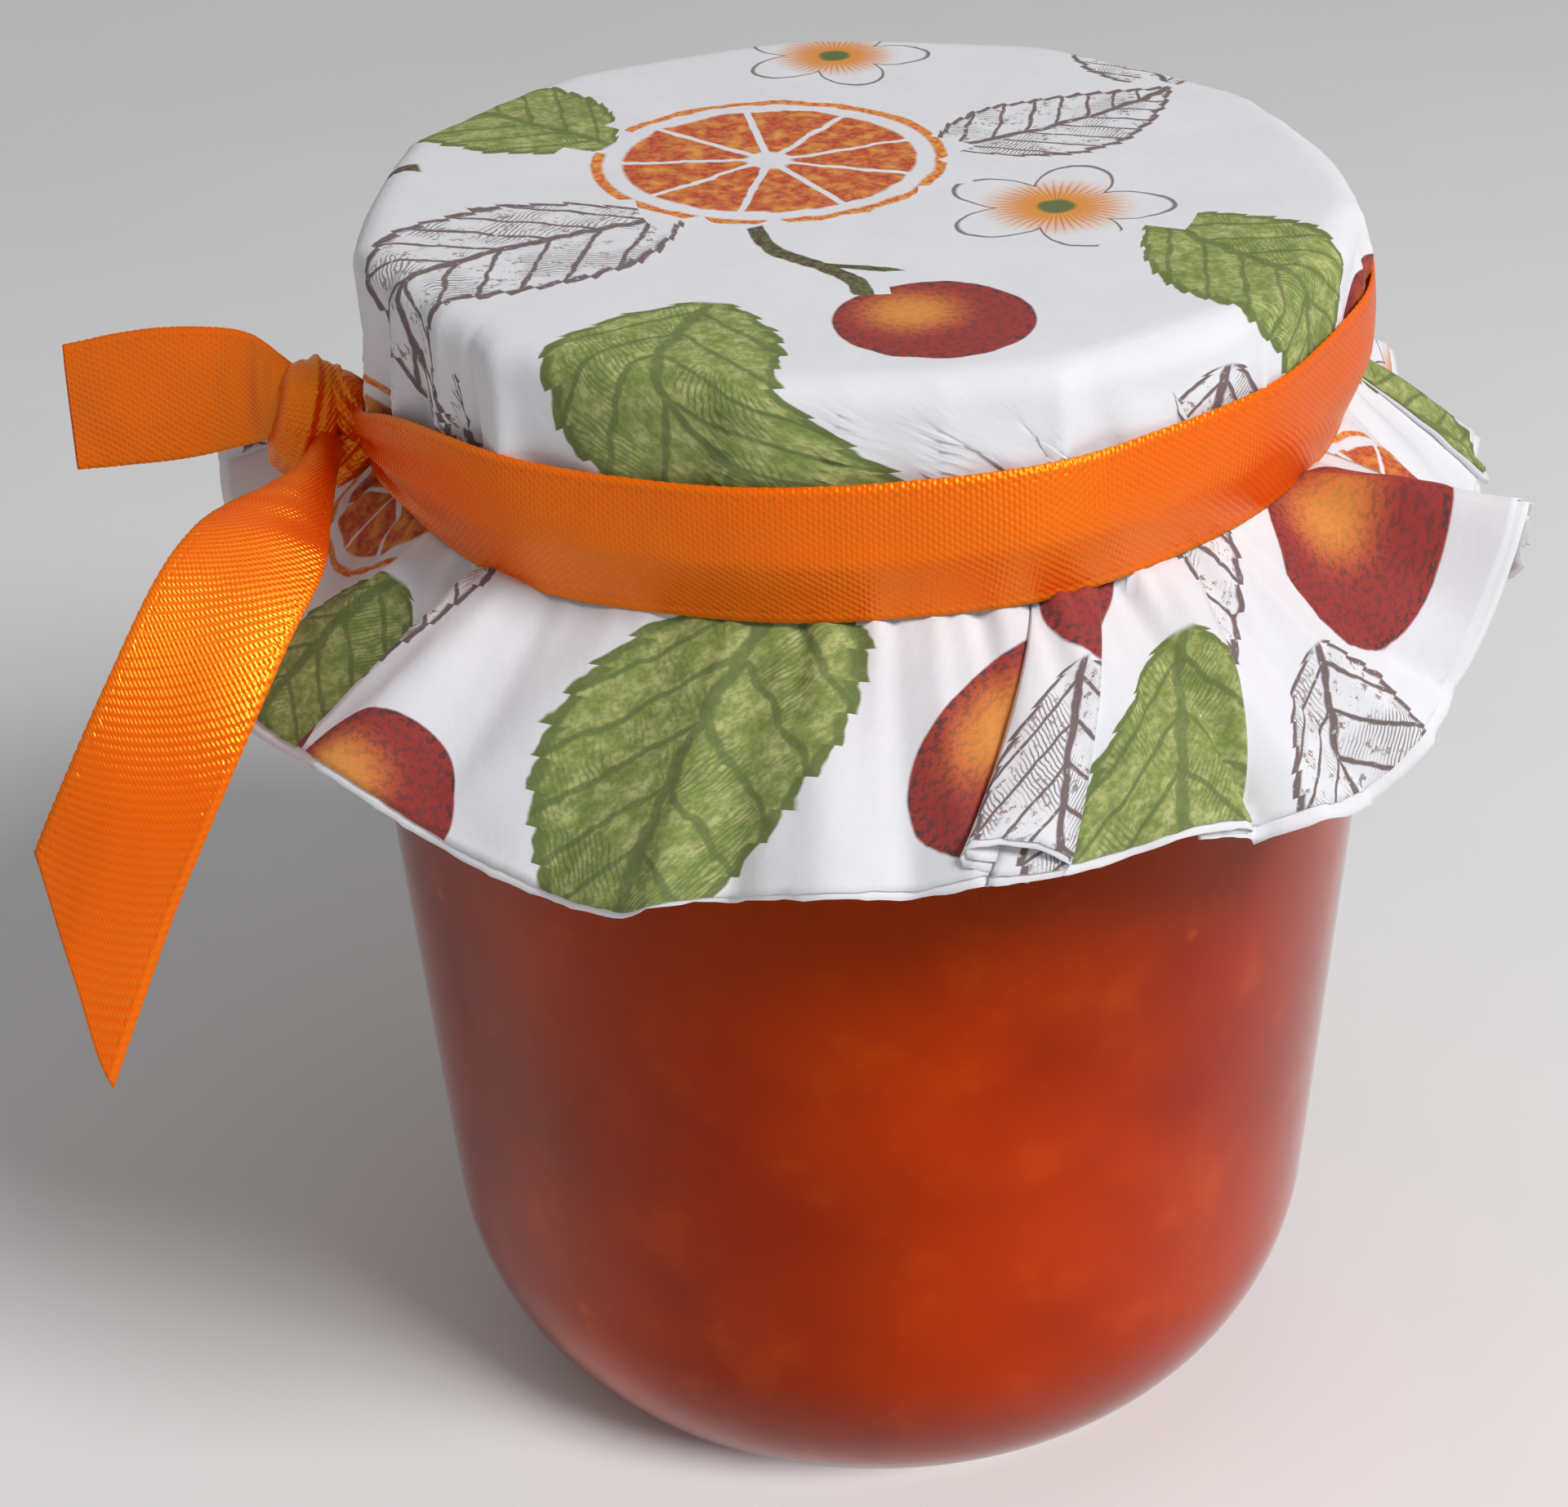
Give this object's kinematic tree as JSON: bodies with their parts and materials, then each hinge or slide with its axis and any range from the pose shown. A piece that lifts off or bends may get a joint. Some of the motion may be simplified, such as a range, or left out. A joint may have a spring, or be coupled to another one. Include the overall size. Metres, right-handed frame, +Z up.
{
  "type": "jam jar with a paper-covered lid",
  "caption": "Tapered round-heeled glass jar of orange jam, its lid under a printed paper cover that a flat satin ribbon gathers and ties at the neck.",
  "frame": {"origin": "centre of the flat base face, on the jar's axis", "axes": "+Z up along the jar's axis, -Y towards the front, the ribbon's knot towards -X"},
  "size_m": [0.1094, 0.0947, 0.0951],
  "materials": {
    "glass": "clear smooth jar glass",
    "jam": "cloudy translucent orange jam",
    "lid": "lacquered tinplate",
    "paper": "soft printed tissue paper",
    "satin": "orange satin with woven edges"
  },
  "bodies": {
    "root": {"jar": "glass", "jam": "jam", "lid": "lid", "cover": "paper", "ribbon": "satin"}
  },
  "joints": []
}
